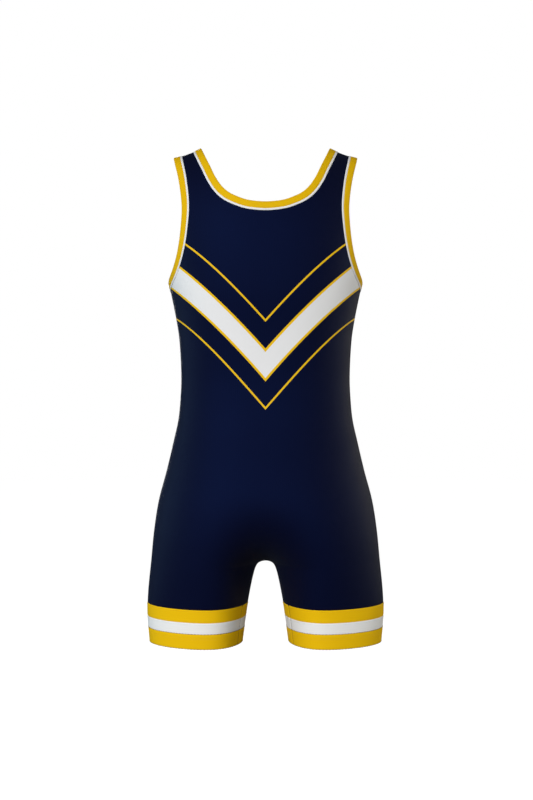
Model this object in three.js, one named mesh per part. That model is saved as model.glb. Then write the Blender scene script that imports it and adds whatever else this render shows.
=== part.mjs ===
// Wrestling singlet, empty and holding the shape of a general adult figure.
// Millimetres, +Z up, the wearer's right hand towards +X. The back faces -Y and the chest faces +Y.
// The origin is on the mid-line at the height of the inner shoulder corners, where the straps hang.

import * as THREE from 'three';

// Cloth thicknesses, and how far each trim stands out from the panels
const panelThickness = 1.2;
const bindingThickness = 2.2;
const bindingLift = 0.5;
const pipingThickness = 1.9;
const pipingLift = 0.4;
const bandThickness = 1.6;
const bandLift = 0.2;
const cuffThickness = 2.2;
const cuffLift = 0.5;
const seamGap = 0.3;

// Widths of the trims on the cloth
const bindingWidth = 11.2;
const pipingWidth = 3.4;
const panelInset = bindingWidth + pipingWidth + 2 * seamGap;

// Heights of the leg bands' edges and of the crotch
const hemHeight = -834;
const cuffTop = -808.6;
const stripeTop = -789.5;
const bandTop = -768;
const crotchHeight = -698;
const levelRowHeight = -560;

// The trunk from the shoulders to the hems: half width, and depth behind and before the side seams
const trunk = [
  { height: 0, halfWidth: 195, back: 108, front: 98 },
  { height: -60, halfWidth: 189, back: 114, front: 104 },
  { height: -120, halfWidth: 180, back: 118, front: 111 },
  { height: -180, halfWidth: 171, back: 117, front: 115 },
  { height: -228, halfWidth: 164, back: 114, front: 116 },
  { height: -256, halfWidth: 158, back: 111, front: 114 },
  { height: -290, halfWidth: 151.3, back: 105, front: 110 },
  { height: -324, halfWidth: 146.2, back: 99, front: 106 },
  { height: -385, halfWidth: 143, back: 91, front: 100 },
  { height: -426, halfWidth: 144.5, back: 91, front: 99 },
  { height: -460, halfWidth: 148, back: 95, front: 100 },
  { height: -494, halfWidth: 155.5, back: 103, front: 102 },
  { height: -545, halfWidth: 167.5, back: 117, front: 106 },
  { height: -596, halfWidth: 181, back: 127, front: 109 },
  { height: -647, halfWidth: 189, back: 128, front: 111 },
  { height: -698, halfWidth: 194, back: 121, front: 110 },
  { height: -749, halfWidth: 199, back: 109, front: 104 },
  { height: -783, halfWidth: 200, back: 101, front: 98 },
  { height: -834, halfWidth: 196, back: 92, front: 91 },
];

// The section is an oval, a little squarer than an ellipse
const sectionPower = 2.5;

// Above this height the cloth curves over to the shoulder line, which falls away outwards
const rollStart = -250;
const rollPower = 3;
const shoulderCrown = 75;
const crownReach = 99.5;
const neckCorner = 109.3;
const shoulderCorner = 155.6;

// Half the gap between the legs, squared, grows quickly under the arch and then slowly.
// Above the crotch the valley between the legs fills out to the full section.
const legFlare = 10;
const archRound = 190;
const archSoft = 5;
const archSlope = legFlare + archRound / archSoft;
const valleyFill = 0.4;
const valleyReach = 58;

// Cut edges as points across and up, from the mid-line or the underarm to the shoulder
const backNeck = [
  { across: 0, height: -107 },
  { across: 28.5, height: -104 },
  { across: 44, height: -98.5 },
  { across: 58.5, height: -91 },
  { across: 70, height: -80.5 },
  { across: 81.5, height: -63 },
  { across: 93, height: -38 },
  { across: neckCorner, height: 0 },
];
const frontNeck = [
  { across: 0, height: -196 },
  { across: 30, height: -190 },
  { across: 56, height: -170 },
  { across: 75, height: -140 },
  { across: 88, height: -103 },
  { across: 97, height: -64 },
  { across: 103, height: -28 },
  { across: neckCorner, height: 0 },
];
const armhole = [
  { across: 164, height: -228 },
  { across: 157.4, height: -216 },
  { across: 149.5, height: -198 },
  { across: 143.5, height: -176 },
  { across: 139, height: -146 },
  { across: 137.1, height: -111 },
  { across: 142, height: -71 },
  { across: 150, height: -37 },
  { across: shoulderCorner, height: shoulderLine(shoulderCorner) },
];

// How finely the surfaces are divided, with the rows closer together near the crotch
const rowSpread = 1.5;
const armStations = 20;
const frontNeckStations = 20;
const backNeckStations = 14;
const backMidLineSpan = 81;
const rowsBelowCrotch = 5;
const rowsAboveCrotch = 8;
const rowsToEdges = 11;
const panelColumns = 11;
const legStations = 30;
const samplesPerSpan = 40;
const fitRounds = 12;

const backSide = -1;
const frontSide = 1;

const navy = new THREE.MeshStandardMaterial({ color: 0x0d142c, roughness: 0.62, metalness: 0 });
const gold = new THREE.MeshStandardMaterial({ color: 0xe0bb22, roughness: 0.6, metalness: 0 });
const white = new THREE.MeshStandardMaterial({ color: 0xe6e6e6, roughness: 0.6, metalness: 0 });

const lerp = THREE.MathUtils.lerp;

// Smooth curve through one column of the trunk table
function trunkAt(height, column) {
  const last = trunk.length - 1;
  let i = 0;
  while (i < last - 1 && trunk[i + 1].height > height) i++;
  const slope = (k) => {
    const above = trunk[Math.max(k - 1, 0)];
    const below = trunk[Math.min(k + 1, last)];
    return (below[column] - above[column]) / (below.height - above.height);
  };
  const step = trunk[i + 1].height - trunk[i].height;
  const t = (height - trunk[i].height) / step;
  const start = trunk[i][column];
  const end = trunk[i + 1][column];
  return (
    (1 + 2 * t) * (1 - t) ** 2 * start +
    t * (1 - t) ** 2 * step * slope(i) +
    t ** 2 * (3 - 2 * t) * end -
    t ** 2 * (1 - t) * step * slope(i + 1)
  );
}

function halfWidthAt(height) {
  return trunkAt(height, 'halfWidth');
}

// Height of the shoulder line, steep beside the neck and flatter towards the shoulder's corner
function shoulderLine(x) {
  const crown = (at) => Math.exp(-((at / crownReach) ** 2));
  return shoulderCrown * (crown(x) - crown(neckCorner));
}

function rollHeight(x) {
  return shoulderLine(x) - rollStart;
}

// The squared half gap between the legs, negative above the crotch
function legGapSquared(height) {
  const below = crotchHeight - height;
  if (below > 0) return legFlare * below + archRound * (1 - Math.exp(-below / archSoft));
  return archSlope * below - valleyFill * below * below;
}

function innerLegAt(height) {
  return Math.sqrt(Math.max(legGapSquared(height), 0));
}

// Squared share of the full depth that the cloth has at a place across and up
function fullness(x, z) {
  const oval = 1 - (Math.abs(x) / halfWidthAt(z)) ** sectionPower;
  const valley = 1 - Math.exp((legGapSquared(z) - x * x) / valleyReach ** 2);
  const roll = Math.max(0, (z - rollStart) / rollHeight(x));
  return oval * valley * (1 - roll ** rollPower);
}

function depthOf(side, z) {
  return trunkAt(z, side === backSide ? 'back' : 'front');
}

function depthAt(side, x, z) {
  return depthOf(side, z) * Math.sqrt(Math.max(fullness(x, z), 0));
}

// Zero on the cloth, positive outside it
function outside(p) {
  const side = p.y > 0 ? frontSide : backSide;
  return p.y * p.y - depthOf(side, p.z) ** 2 * fullness(p.x, p.z);
}

function gradient(p) {
  const step = 0.01;
  const slope = (axis) => {
    const more = p.clone();
    const less = p.clone();
    more[axis] += step;
    less[axis] -= step;
    return (outside(more) - outside(less)) / (2 * step);
  };
  return new THREE.Vector3(slope('x'), 2 * p.y, slope('z'));
}

function normalAt(p) {
  return gradient(p).normalize();
}

function ontoCloth(point) {
  const p = point.clone();
  for (let i = 0; i < fitRounds; i++) {
    const g = gradient(p);
    p.addScaledVector(g, -outside(p) / g.lengthSq());
  }
  return p;
}

// Stations along a quarter of a cut edge, each with its place and the way into the cloth.
// The end points lie on planes of symmetry, so the curve is carried past them by its mirror image.
function edgeQuarter(table, side, startAxis, inward, count) {
  const knots = table.map(
    ({ across, height }) => new THREE.Vector3(across, side * depthAt(side, across, height), height)
  );
  const last = knots.length - 1;
  const before = knots[1].clone();
  before[startAxis] *= -1;
  const after = knots[last - 1].clone();
  after.y *= -1;
  const curve = new THREE.CatmullRomCurve3([before, ...knots, after]);
  const spans = knots.length + 1;
  const samples = samplesPerSpan * last;
  const fine = [];
  for (let i = 0; i <= samples; i++) {
    fine.push(ontoCloth(curve.getPoint(lerp(1, last + 1, i / samples) / spans)));
  }
  const lengths = [0];
  for (let i = 1; i <= samples; i++) lengths.push(lengths[i - 1] + fine[i].distanceTo(fine[i - 1]));
  const stations = [];
  for (let k = 0; k <= count; k++) {
    const wanted = (lengths[samples] * k) / count;
    let i = 1;
    while (i < samples && lengths[i] < wanted) i++;
    const share = (wanted - lengths[i - 1]) / (lengths[i] - lengths[i - 1]);
    const place = ontoCloth(fine[i - 1].clone().lerp(fine[i], share));
    const tangent = fine[i].clone().sub(fine[i - 1]).normalize();
    if (k === 0) tangent.set(startAxis === 'x' ? 1 : 0, startAxis === 'x' ? 0 : side, 0);
    if (k === count) tangent.set(0, -side, 0);
    const into = tangent.cross(normalAt(place)).multiplyScalar(inward).normalize();
    stations.push({ place, into });
  }
  return stations;
}

function inset(station, distance) {
  return ontoCloth(station.place.clone().addScaledVector(station.into, distance));
}

// A sheet of points on the cloth with normals and triangles, thickened at the end into a closed wall
class Sheet {
  constructor() {
    this.places = [];
    this.normals = [];
    this.triangles = [];
    this.known = new Map();
  }

  add(place, normal) {
    const key = place.toArray().map((v) => Math.round(v * 1e4)).join();
    if (!this.known.has(key)) {
      this.known.set(key, this.places.length);
      this.places.push(place.clone());
      this.normals.push(normal.clone());
    }
    return this.known.get(key);
  }

  triangle(a, b, c) {
    if (a === b || b === c || c === a) return;
    const ab = this.places[b].clone().sub(this.places[a]);
    const ac = this.places[c].clone().sub(this.places[a]);
    const facing = this.normals[a].clone().add(this.normals[b]).add(this.normals[c]);
    this.triangles.push(ab.cross(ac).dot(facing) > 0 ? [a, b, c] : [a, c, b]);
  }

  // Rows of vertex numbers, as quads split along their shorter diagonal
  grid(rows, closed = false) {
    const rowCount = closed ? rows.length : rows.length - 1;
    for (let i = 0; i < rowCount; i++) {
      const low = rows[i];
      const high = rows[(i + 1) % rows.length];
      for (let j = 0; j + 1 < low.length; j++) {
        const rising = this.places[low[j]].distanceTo(this.places[high[j + 1]]);
        const falling = this.places[low[j + 1]].distanceTo(this.places[high[j]]);
        if (rising < falling) {
          this.triangle(low[j], low[j + 1], high[j + 1]);
          this.triangle(low[j], high[j + 1], high[j]);
        } else {
          this.triangle(low[j], low[j + 1], high[j]);
          this.triangle(low[j + 1], high[j + 1], high[j]);
        }
      }
    }
  }

  wall(name, thickness, lift, material) {
    const count = this.places.length;
    const positions = [];
    for (const offset of [lift, lift - thickness]) {
      this.places.forEach((place, i) => {
        positions.push(...place.clone().addScaledVector(this.normals[i], offset).toArray());
      });
    }
    const index = [];
    const edges = new Map();
    for (const [a, b, c] of this.triangles) {
      index.push(a, b, c, count + a, count + c, count + b);
      for (const [from, to] of [[a, b], [b, c], [c, a]]) {
        if (edges.has(`${to} ${from}`)) edges.delete(`${to} ${from}`);
        else edges.set(`${from} ${to}`, [from, to]);
      }
    }
    for (const [from, to] of edges.values()) {
      index.push(from, count + from, to, to, count + from, count + to);
    }
    const geometry = new THREE.BufferGeometry();
    geometry.setAttribute('position', new THREE.Float32BufferAttribute(positions, 3));
    geometry.setIndex(index);
    const mesh = new THREE.Mesh(geometry, material);
    mesh.name = name;
    return mesh;
  }
}

function mirrored(v) {
  return new THREE.Vector3(-v.x, v.y, v.z);
}

const neckEdges = {
  [backSide]: edgeQuarter(backNeck, backSide, 'x', 1, backNeckStations),
  [frontSide]: edgeQuarter(frontNeck, frontSide, 'x', -1, frontNeckStations),
};
const armholeEdges = {
  [backSide]: edgeQuarter(armhole, backSide, 'y', -1, armStations),
  [frontSide]: edgeQuarter(armhole, frontSide, 'y', 1, armStations),
};

// Place up the cloth as an angle over the shoulder roll, and as a plain share below it.
// In the upper half of the roll the depth gives the angle more exactly than the height does.
function rollAngle(side, p) {
  const sine = (p.z - rollStart) / rollHeight(p.x);
  if (sine < 0) return sine;
  if (sine < 1 / 2) return Math.asin(sine);
  const flat = depthOf(side, p.z) * Math.sqrt(1 - (p.x / halfWidthAt(p.z)) ** sectionPower);
  return Math.asin((1 - (p.y / flat) ** 2) ** (1 / rollPower));
}

function heightAt(x, angle) {
  return rollStart + rollHeight(x) * (angle > 0 ? Math.sin(angle) : angle);
}

// A row leaves the mid-line steeply and reaches the side seam or the underarm level
function rowAngle(start, end, u) {
  return lerp(start, end, 1 - (1 - u) ** 3);
}

// Rows of a half panel from the leg band to the shoulder seam.
// Each row runs from the inseam, the mid-line or the neck to the side seam or the armhole.
function panelRows(side) {
  const neckCut = neckEdges[side].map((station) => inset(station, panelInset));
  const armCut = armholeEdges[side].map((station) => inset(station, panelInset));
  const midRows = armCut.length - neckCut.length;
  const innerCut = [];
  for (let i = 0; i < midRows; i++) {
    const z = neckCut[0].z - backMidLineSpan * (1 - i / midRows);
    innerCut.push(new THREE.Vector3(0, side * depthAt(side, 0, z), z));
  }
  innerCut.push(...neckCut);
  const rows = [];
  const bottom = bandTop + seamGap;
  for (let i = 0; i < rowsBelowCrotch; i++) {
    const height = lerp(crotchHeight, bottom, (1 - i / rowsBelowCrotch) ** rowSpread);
    rows.push({ inner: height, outer: height, legs: 1 });
  }
  for (let i = 0; i < rowsAboveCrotch; i++) {
    const share = i / rowsAboveCrotch;
    const height = lerp(crotchHeight, levelRowHeight, share ** rowSpread);
    rows.push({ inner: height, outer: height, legs: (1 - share) ** 2 });
  }
  for (let i = 0; i < rowsToEdges; i++) {
    const share = i / rowsToEdges;
    const inner = lerp(levelRowHeight, innerCut[0].z, share);
    rows.push({ inner, outer: lerp(levelRowHeight, armCut[0].z, share), legs: 0 });
  }
  const onTrunk = rows.map(({ inner, outer, legs }) => {
    const innerAngle = (inner - rollStart) / rollHeight(0);
    const startAngle = innerAngle > 0 ? Math.asin(innerAngle) : innerAngle;
    const outerWidth = halfWidthAt(outer);
    const endAngle = (outer - rollStart) / rollHeight(outerWidth);
    const points = [];
    for (let j = 0; j <= panelColumns; j++) {
      const u = j / panelColumns;
      const torsoShare = Math.sin((Math.PI * u) / 2);
      const legShare = (1 - Math.cos(Math.PI * u)) / 2;
      const share = lerp(torsoShare, legShare, legs);
      let x = outerWidth * share;
      let z = inner;
      for (let round = 0; round < fitRounds; round++) {
        z = legs > 0 ? inner : heightAt(x, rowAngle(startAngle, endAngle, u));
        x = lerp(innerLegAt(z), halfWidthAt(z), share);
      }
      points.push([x, z]);
    }
    return points;
  });
  const overShoulder = innerCut.map((start, k) => {
    const end = armCut[k];
    const atTop = k === armStations;
    const startTurn = Math.asin(start.x / halfWidthAt(start.z));
    const endTurn = k === 0 ? Math.PI / 2 : Math.asin(Math.min(1, end.x / halfWidthAt(end.z)));
    const startAngle = atTop ? Math.PI / 2 : rollAngle(side, start);
    const endAngle = atTop ? Math.PI / 2 : rollAngle(side, end);
    const points = [];
    for (let j = 0; j <= panelColumns; j++) {
      const u = j / panelColumns;
      let x = lerp(start.x, end.x, u);
      let z = lerp(start.z, end.z, u);
      for (let round = 0; round < fitRounds; round++) {
        z = heightAt(x, rowAngle(startAngle, endAngle, u));
        x = halfWidthAt(z) * Math.sin(lerp(startTurn, endTurn, u));
      }
      points.push([x, z]);
    }
    return points;
  });
  return [...onTrunk, ...overShoulder];
}

// A panel from both legs to both shoulders, held half a seam gap off the seam plane
function panel(name, side) {
  const sheet = new Sheet();
  const halves = [[], []];
  for (const row of panelRows(side)) {
    const right = [];
    const left = [];
    for (const [x, z] of row) {
      const depth = depthAt(side, x, z);
      const normal = normalAt(new THREE.Vector3(x, side * depth, z));
      const place = new THREE.Vector3(x, side * (depth + seamGap / 2), z);
      right.push(sheet.add(place, normal));
      left.push(sheet.add(mirrored(place), mirrored(normal)));
    }
    halves[0].push(right);
    halves[1].push(left);
  }
  halves.forEach((rows) => sheet.grid(rows));
  return sheet.wall(name, panelThickness, 0, navy);
}

// A narrow strip laid along a closed edge, between two distances from it
function trim(name, loop, from, to, divisions, thickness, lift, material) {
  const sheet = new Sheet();
  const rows = loop.map(({ station, flipped }) => {
    const row = [];
    for (let j = 0; j <= divisions; j++) {
      const place = inset(station, lerp(from, to, j / divisions));
      const normal = normalAt(place);
      row.push(flipped ? sheet.add(mirrored(place), mirrored(normal)) : sheet.add(place, normal));
    }
    return row;
  });
  sheet.grid(rows, true);
  return sheet.wall(name, thickness, lift, material);
}

const plain = (station) => ({ station, flipped: false });
const flip = (station) => ({ station, flipped: true });

// Right half of the neck from back to front, then the left half from front to back
function neckLoop() {
  const back = neckEdges[backSide];
  const front = neckEdges[frontSide];
  const right = [...back, ...front.slice(0, -1).reverse()];
  const left = right.slice(1, -1).reverse();
  return [...right.map(plain), ...left.map(flip)];
}

// From the underarm up the back, over the shoulder and down the front
function armholeLoop(flipped) {
  const back = armholeEdges[backSide];
  const front = armholeEdges[frontSide];
  const loop = [...back, ...front.slice(1, -1).reverse()];
  return loop.map(flipped ? flip : plain);
}

function edgeTrims(place, loop) {
  const pipingStart = bindingWidth + seamGap;
  const pipingEnd = pipingStart + pipingWidth;
  return [
    trim(`${place}_binding`, loop, 0, bindingWidth, 2, bindingThickness, bindingLift, gold),
    trim(`${place}_piping`, loop, pipingStart, pipingEnd, 1, pipingThickness, pipingLift, white),
  ];
}

// A level band round one leg
function legBand(name, flipped, top, bottom, divisions, thickness, lift, material) {
  const sheet = new Sheet();
  const rows = [];
  for (let k = 0; k < legStations; k++) {
    const turn = (2 * Math.PI * k) / legStations;
    const side = turn < Math.PI ? frontSide : backSide;
    const row = [];
    for (let j = 0; j <= divisions; j++) {
      const z = lerp(top, bottom, j / divisions);
      const x = lerp(innerLegAt(z), halfWidthAt(z), (1 - Math.cos(turn)) / 2);
      const place = new THREE.Vector3(x, side * depthAt(side, x, z), z);
      const normal = normalAt(place);
      row.push(flipped ? sheet.add(mirrored(place), mirrored(normal)) : sheet.add(place, normal));
    }
    rows.push(row);
  }
  sheet.grid(rows, true);
  return sheet.wall(name, thickness, lift, material);
}

function legTrims(place, flipped) {
  const half = seamGap / 2;
  return [
    legBand(`${place}_band`, flipped, bandTop, stripeTop + half, 1, bandThickness, bandLift, gold),
    legBand(`${place}_stripe`, flipped, stripeTop - half, cuffTop + half, 1, bandThickness, bandLift, white),
    legBand(`${place}_cuff`, flipped, cuffTop - half, hemHeight, 1, cuffThickness, cuffLift, gold),
  ];
}

const singlet = new THREE.Group();
singlet.name = 'wrestling_singlet';
singlet.add(panel('back_panel', backSide));
singlet.add(panel('front_panel', frontSide));
singlet.add(...edgeTrims('neck', neckLoop()));
singlet.add(...edgeTrims('right_armhole', armholeLoop(false)));
singlet.add(...edgeTrims('left_armhole', armholeLoop(true)));
singlet.add(...legTrims('right_leg', false));
singlet.add(...legTrims('left_leg', true));

export default singlet;
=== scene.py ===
import math
import bpy
import numpy as np
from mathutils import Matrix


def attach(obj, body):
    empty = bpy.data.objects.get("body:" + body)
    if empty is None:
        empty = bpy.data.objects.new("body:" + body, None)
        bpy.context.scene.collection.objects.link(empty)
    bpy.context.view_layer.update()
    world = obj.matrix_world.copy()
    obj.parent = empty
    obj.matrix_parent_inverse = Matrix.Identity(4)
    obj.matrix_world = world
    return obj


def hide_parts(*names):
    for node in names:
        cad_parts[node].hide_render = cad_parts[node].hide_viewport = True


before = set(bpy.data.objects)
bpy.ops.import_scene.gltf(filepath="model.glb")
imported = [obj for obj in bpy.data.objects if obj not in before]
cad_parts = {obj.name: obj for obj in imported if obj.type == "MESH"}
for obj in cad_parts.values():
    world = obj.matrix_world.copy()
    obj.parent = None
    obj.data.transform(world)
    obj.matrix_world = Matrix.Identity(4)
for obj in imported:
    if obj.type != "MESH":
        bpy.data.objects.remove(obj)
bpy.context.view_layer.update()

# A wrestling singlet in metres: +Z up, the back faces -Y, the chest +Y, the wearer's right hand +X.
# The cloth follows the same rules as the solids: an oval trunk that splits into two legs and rolls
# over at the shoulders. Every piece is laid on that surface, so the seams meet.

backSide = -1
frontSide = 1

clothForm = {
    "columns": ("height", "halfWidth", "back", "front"),
    "rows": [
        (0.000, 0.1950, 0.108, 0.098),
        (-0.060, 0.1890, 0.114, 0.104),
        (-0.120, 0.1800, 0.118, 0.111),
        (-0.180, 0.1710, 0.117, 0.115),
        (-0.228, 0.1640, 0.114, 0.116),
        (-0.256, 0.1580, 0.111, 0.114),
        (-0.290, 0.1513, 0.105, 0.110),
        (-0.324, 0.1462, 0.099, 0.106),
        (-0.385, 0.1430, 0.091, 0.100),
        (-0.426, 0.1445, 0.091, 0.099),
        (-0.460, 0.1480, 0.095, 0.100),
        (-0.494, 0.1555, 0.103, 0.102),
        (-0.545, 0.1675, 0.117, 0.106),
        (-0.596, 0.1810, 0.127, 0.109),
        (-0.647, 0.1890, 0.128, 0.111),
        (-0.698, 0.1940, 0.121, 0.110),
        (-0.749, 0.1990, 0.109, 0.104),
        (-0.783, 0.2000, 0.101, 0.098),
        (-0.834, 0.1960, 0.092, 0.091),
    ],
    "sectionPower": 2.5,  # an ellipse is 2
    "rollStart": -0.250,
    "rollPower": 3.0,
    "shoulderCrown": 0.075,
    "crownReach": 0.0995,
    "neckCorner": 0.1093,
    "shoulderCorner": 0.1556,
    "crotch": -0.698,
    "legFlare": 0.010,
    "archRound": 0.00019,  # square metres
    "archSoft": 0.005,
    "valleyFill": 0.4,
    "valleyReach": 0.058,
    "settleRounds": 6,  # steps that bring a point onto the cloth
}

trunkTable = np.array(clothForm["rows"])


def trunkAt(height, column):
    # smooth curve through one column of the table
    heights = trunkTable[:, 0]
    values = trunkTable[:, clothForm["columns"].index(column)]
    slopes = np.empty_like(values)
    slopes[1:-1] = (values[2:] - values[:-2]) / (heights[2:] - heights[:-2])
    slopes[0] = (values[1] - values[0]) / (heights[1] - heights[0])
    slopes[-1] = (values[-1] - values[-2]) / (heights[-1] - heights[-2])
    z = np.asarray(height, float)
    i = np.clip(np.searchsorted(-heights, -z, side="right") - 1, 0, len(heights) - 2)
    step = heights[i + 1] - heights[i]
    t = (z - heights[i]) / step
    return (
        (1 + 2 * t) * (1 - t) ** 2 * values[i]
        + t * (1 - t) ** 2 * step * slopes[i]
        + t**2 * (3 - 2 * t) * values[i + 1]
        - t**2 * (1 - t) * step * slopes[i + 1]
    )


def halfWidthAt(z):
    return trunkAt(z, "halfWidth")


def shoulderLine(x):
    reach = clothForm["crownReach"]
    corner = math.exp(-((clothForm["neckCorner"] / reach) ** 2))
    return clothForm["shoulderCrown"] * (np.exp(-((np.asarray(x) / reach) ** 2)) - corner)


def rollHeight(x):
    return shoulderLine(x) - clothForm["rollStart"]


fullRoll = float(rollHeight(0))


def legGapSquared(z):
    # half the gap between the legs, squared, and negative above the crotch
    below = clothForm["crotch"] - np.asarray(z, float)
    soft, rounding = clothForm["archSoft"], clothForm["archRound"]
    under = clothForm["legFlare"] * below + rounding * (1 - np.exp(-np.maximum(below, 0) / soft))
    slope = clothForm["legFlare"] + rounding / soft
    over = slope * below - clothForm["valleyFill"] * below**2
    return np.where(below > 0, under, over)


def innerLegAt(z):
    return np.sqrt(np.maximum(legGapSquared(z), 0))


def fullness(x, z):
    oval = 1 - (np.abs(x) / halfWidthAt(z)) ** clothForm["sectionPower"]
    valley = 1 - np.exp((legGapSquared(z) - x**2) / clothForm["valleyReach"] ** 2)
    roll = np.maximum(0, (z - clothForm["rollStart"]) / rollHeight(x))
    return oval * valley * (1 - roll ** clothForm["rollPower"])


def depthOf(side, z):
    return np.where(side < 0, trunkAt(z, "back"), trunkAt(z, "front"))


def depthAt(side, x, z):
    return depthOf(side, z) * np.sqrt(np.maximum(fullness(x, z), 0))


def outside(p):
    # zero on the cloth, positive outside it
    side = np.where(p[..., 1] > 0, frontSide, backSide)
    return p[..., 1] ** 2 - depthOf(side, p[..., 2]) ** 2 * fullness(p[..., 0], p[..., 2])


def gradientAt(p):
    reach = 1e-5
    slopes = []
    for axis in (0, 2):
        step = np.zeros(3)
        step[axis] = reach
        slopes.append((outside(p + step) - outside(p - step)) / (2 * reach))
    return np.stack([slopes[0], 2 * p[..., 1], slopes[1]], axis=-1)


def unit(v):
    return v / np.maximum(np.linalg.norm(v, axis=-1, keepdims=True), 1e-12)


def normalAt(p):
    return unit(gradientAt(p))


def ontoCloth(p):
    for _ in range(clothForm["settleRounds"]):
        g = gradientAt(p)
        p = p - g * (outside(p) / np.sum(g * g, axis=-1))[..., None]
    return p


def onSide(side, x, z):
    return np.stack([x, side * depthAt(side, x, z), np.broadcast_to(z, np.shape(x))], axis=-1)


# Cut edges as (across, height), from the mid-line or the underarm to the shoulder
cutEdges = {
    "backNeck": [
        (0.0, -0.107), (0.0285, -0.104), (0.044, -0.0985), (0.0585, -0.091),
        (0.070, -0.0805), (0.0815, -0.063), (0.093, -0.038), (0.1093, 0.0),
    ],
    "frontNeck": [
        (0.0, -0.196), (0.030, -0.190), (0.056, -0.170), (0.075, -0.140),
        (0.088, -0.103), (0.097, -0.064), (0.103, -0.028), (0.1093, 0.0),
    ],
    "armhole": [
        (0.164, -0.228), (0.1574, -0.216), (0.1495, -0.198), (0.1435, -0.176), (0.139, -0.146),
        (0.1371, -0.111), (0.142, -0.071), (0.150, -0.037), (0.1556, float(shoulderLine(0.1556))),
    ],
    "samplesPerSpan": 60,
    "reach": 0.001,  # how far to each side an edge looks for its direction
}


def smoothCurve(knots, samples):
    # centripetal curve through the knots, without its first and last span
    points = []
    for i in range(1, len(knots) - 2):
        p0, p1, p2, p3 = knots[i - 1 : i + 3]
        d0, d1, d2 = (math.sqrt(np.linalg.norm(b - a)) for a, b in ((p0, p1), (p1, p2), (p2, p3)))
        leave = ((p1 - p0) / d0 - (p2 - p0) / (d0 + d1) + (p2 - p1) / d1) * d1
        reach = ((p2 - p1) / d1 - (p3 - p1) / (d1 + d2) + (p3 - p2) / d2) * d1
        for k in range(samples):
            t = k / samples
            points.append(
                (2 * t**3 - 3 * t**2 + 1) * p1
                + (t**3 - 2 * t**2 + t) * leave
                + (3 * t**2 - 2 * t**3) * p2
                + (t**3 - t**2) * reach
            )
    points.append(knots[-2])
    return np.array(points)


def lengthAlong(path):
    steps = np.linalg.norm(np.diff(path, axis=0), axis=1)
    return np.concatenate([[0], np.cumsum(steps)])


def pointsAt(path, lengths, wanted):
    return np.stack([np.interp(wanted, lengths, path[:, k]) for k in range(3)], axis=-1)


def edgeQuarter(table, side, startAxis, inward, shares):
    # places along a quarter of a cut edge, and the way from each into the cloth
    across, height = np.array(table).T
    knots = onSide(side, across, height)
    before, after = knots[1].copy(), knots[-2].copy()
    before[startAxis] *= -1
    after[1] *= -1
    fine = ontoCloth(smoothCurve([before, *knots, after], cutEdges["samplesPerSpan"]))
    lengths = lengthAlong(fine)
    wanted = lengths[-1] * np.asarray(shares)
    places = ontoCloth(pointsAt(fine, lengths, wanted))
    reach = cutEdges["reach"]
    tangents = unit(pointsAt(fine, lengths, wanted + reach) - pointsAt(fine, lengths, wanted - reach))
    tangents[0] = (1, 0, 0) if startAxis == 0 else (0, side, 0)
    tangents[-1] = (0, -side, 0)
    into = unit(np.cross(tangents, normalAt(places))) * inward
    return {"places": places, "into": into, "length": lengths[-1]}


def inset(quarter, distance):
    return ontoCloth(quarter["places"] + quarter["into"] * distance)


fineness = {
    "armStations": 80,
    "midRows": 24,  # rows of the back that end on the mid-line under the neck
    "backMidSpan": 0.081,
    "rowsBelowCrotch": 22,
    "rowsAboveCrotch": 34,
    "rowsToEdges": 46,
    "columns": 46,
    "rowSpread": 1.6,
    "levelRow": -0.560,
    "legStations": 120,
    "seamMargin": 0.0045,  # share of a row that the seam's dip takes
    "fitRounds": 12,
}


def stationShares(count):
    return np.append(np.linspace(0, 1, count + 1)[:-1], [1 - fineness["seamMargin"], 1])


armShares = stationShares(fineness["armStations"])
frontNeckShares = stationShares(fineness["armStations"])
backNeckShares = stationShares(fineness["armStations"] - fineness["midRows"])
neckQuarters = {
    backSide: edgeQuarter(cutEdges["backNeck"], backSide, 0, 1, backNeckShares),
    frontSide: edgeQuarter(cutEdges["frontNeck"], frontSide, 0, -1, frontNeckShares),
}
armQuarters = {
    backSide: edgeQuarter(cutEdges["armhole"], backSide, 1, -1, armShares),
    frontSide: edgeQuarter(cutEdges["armhole"], frontSide, 1, 1, armShares),
}


def angleOf(x, z):
    # angle up the roll, and plain height in place of it below the roll
    sine = (z - clothForm["rollStart"]) / rollHeight(x)
    below = (z - clothForm["rollStart"]) / fullRoll
    return np.where(sine > 0, np.arcsin(np.clip(sine, -1, 1)), below)


def rollAngle(side, p):
    sine = (p[..., 2] - clothForm["rollStart"]) / rollHeight(p[..., 0])
    oval = 1 - np.minimum(np.abs(p[..., 0]) / halfWidthAt(p[..., 2]), 1) ** clothForm["sectionPower"]
    flat = np.maximum(depthOf(side, p[..., 2]) * np.sqrt(oval), 1e-6)
    byDepth = np.maximum(1 - (p[..., 1] / flat) ** 2, 0) ** (1 / clothForm["rollPower"])
    low = angleOf(p[..., 0], p[..., 2])
    high = np.arcsin(np.clip(byDepth, -1, 1))
    return np.where(sine < 0.5, low, high)


def heightAt(x, angle):
    risen = np.where(angle > 0, rollHeight(x) * np.sin(angle), fullRoll * angle)
    return clothForm["rollStart"] + risen


def rowAngle(start, end, u):
    return start + (end - start) * (1 - (1 - u) ** 3)


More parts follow.
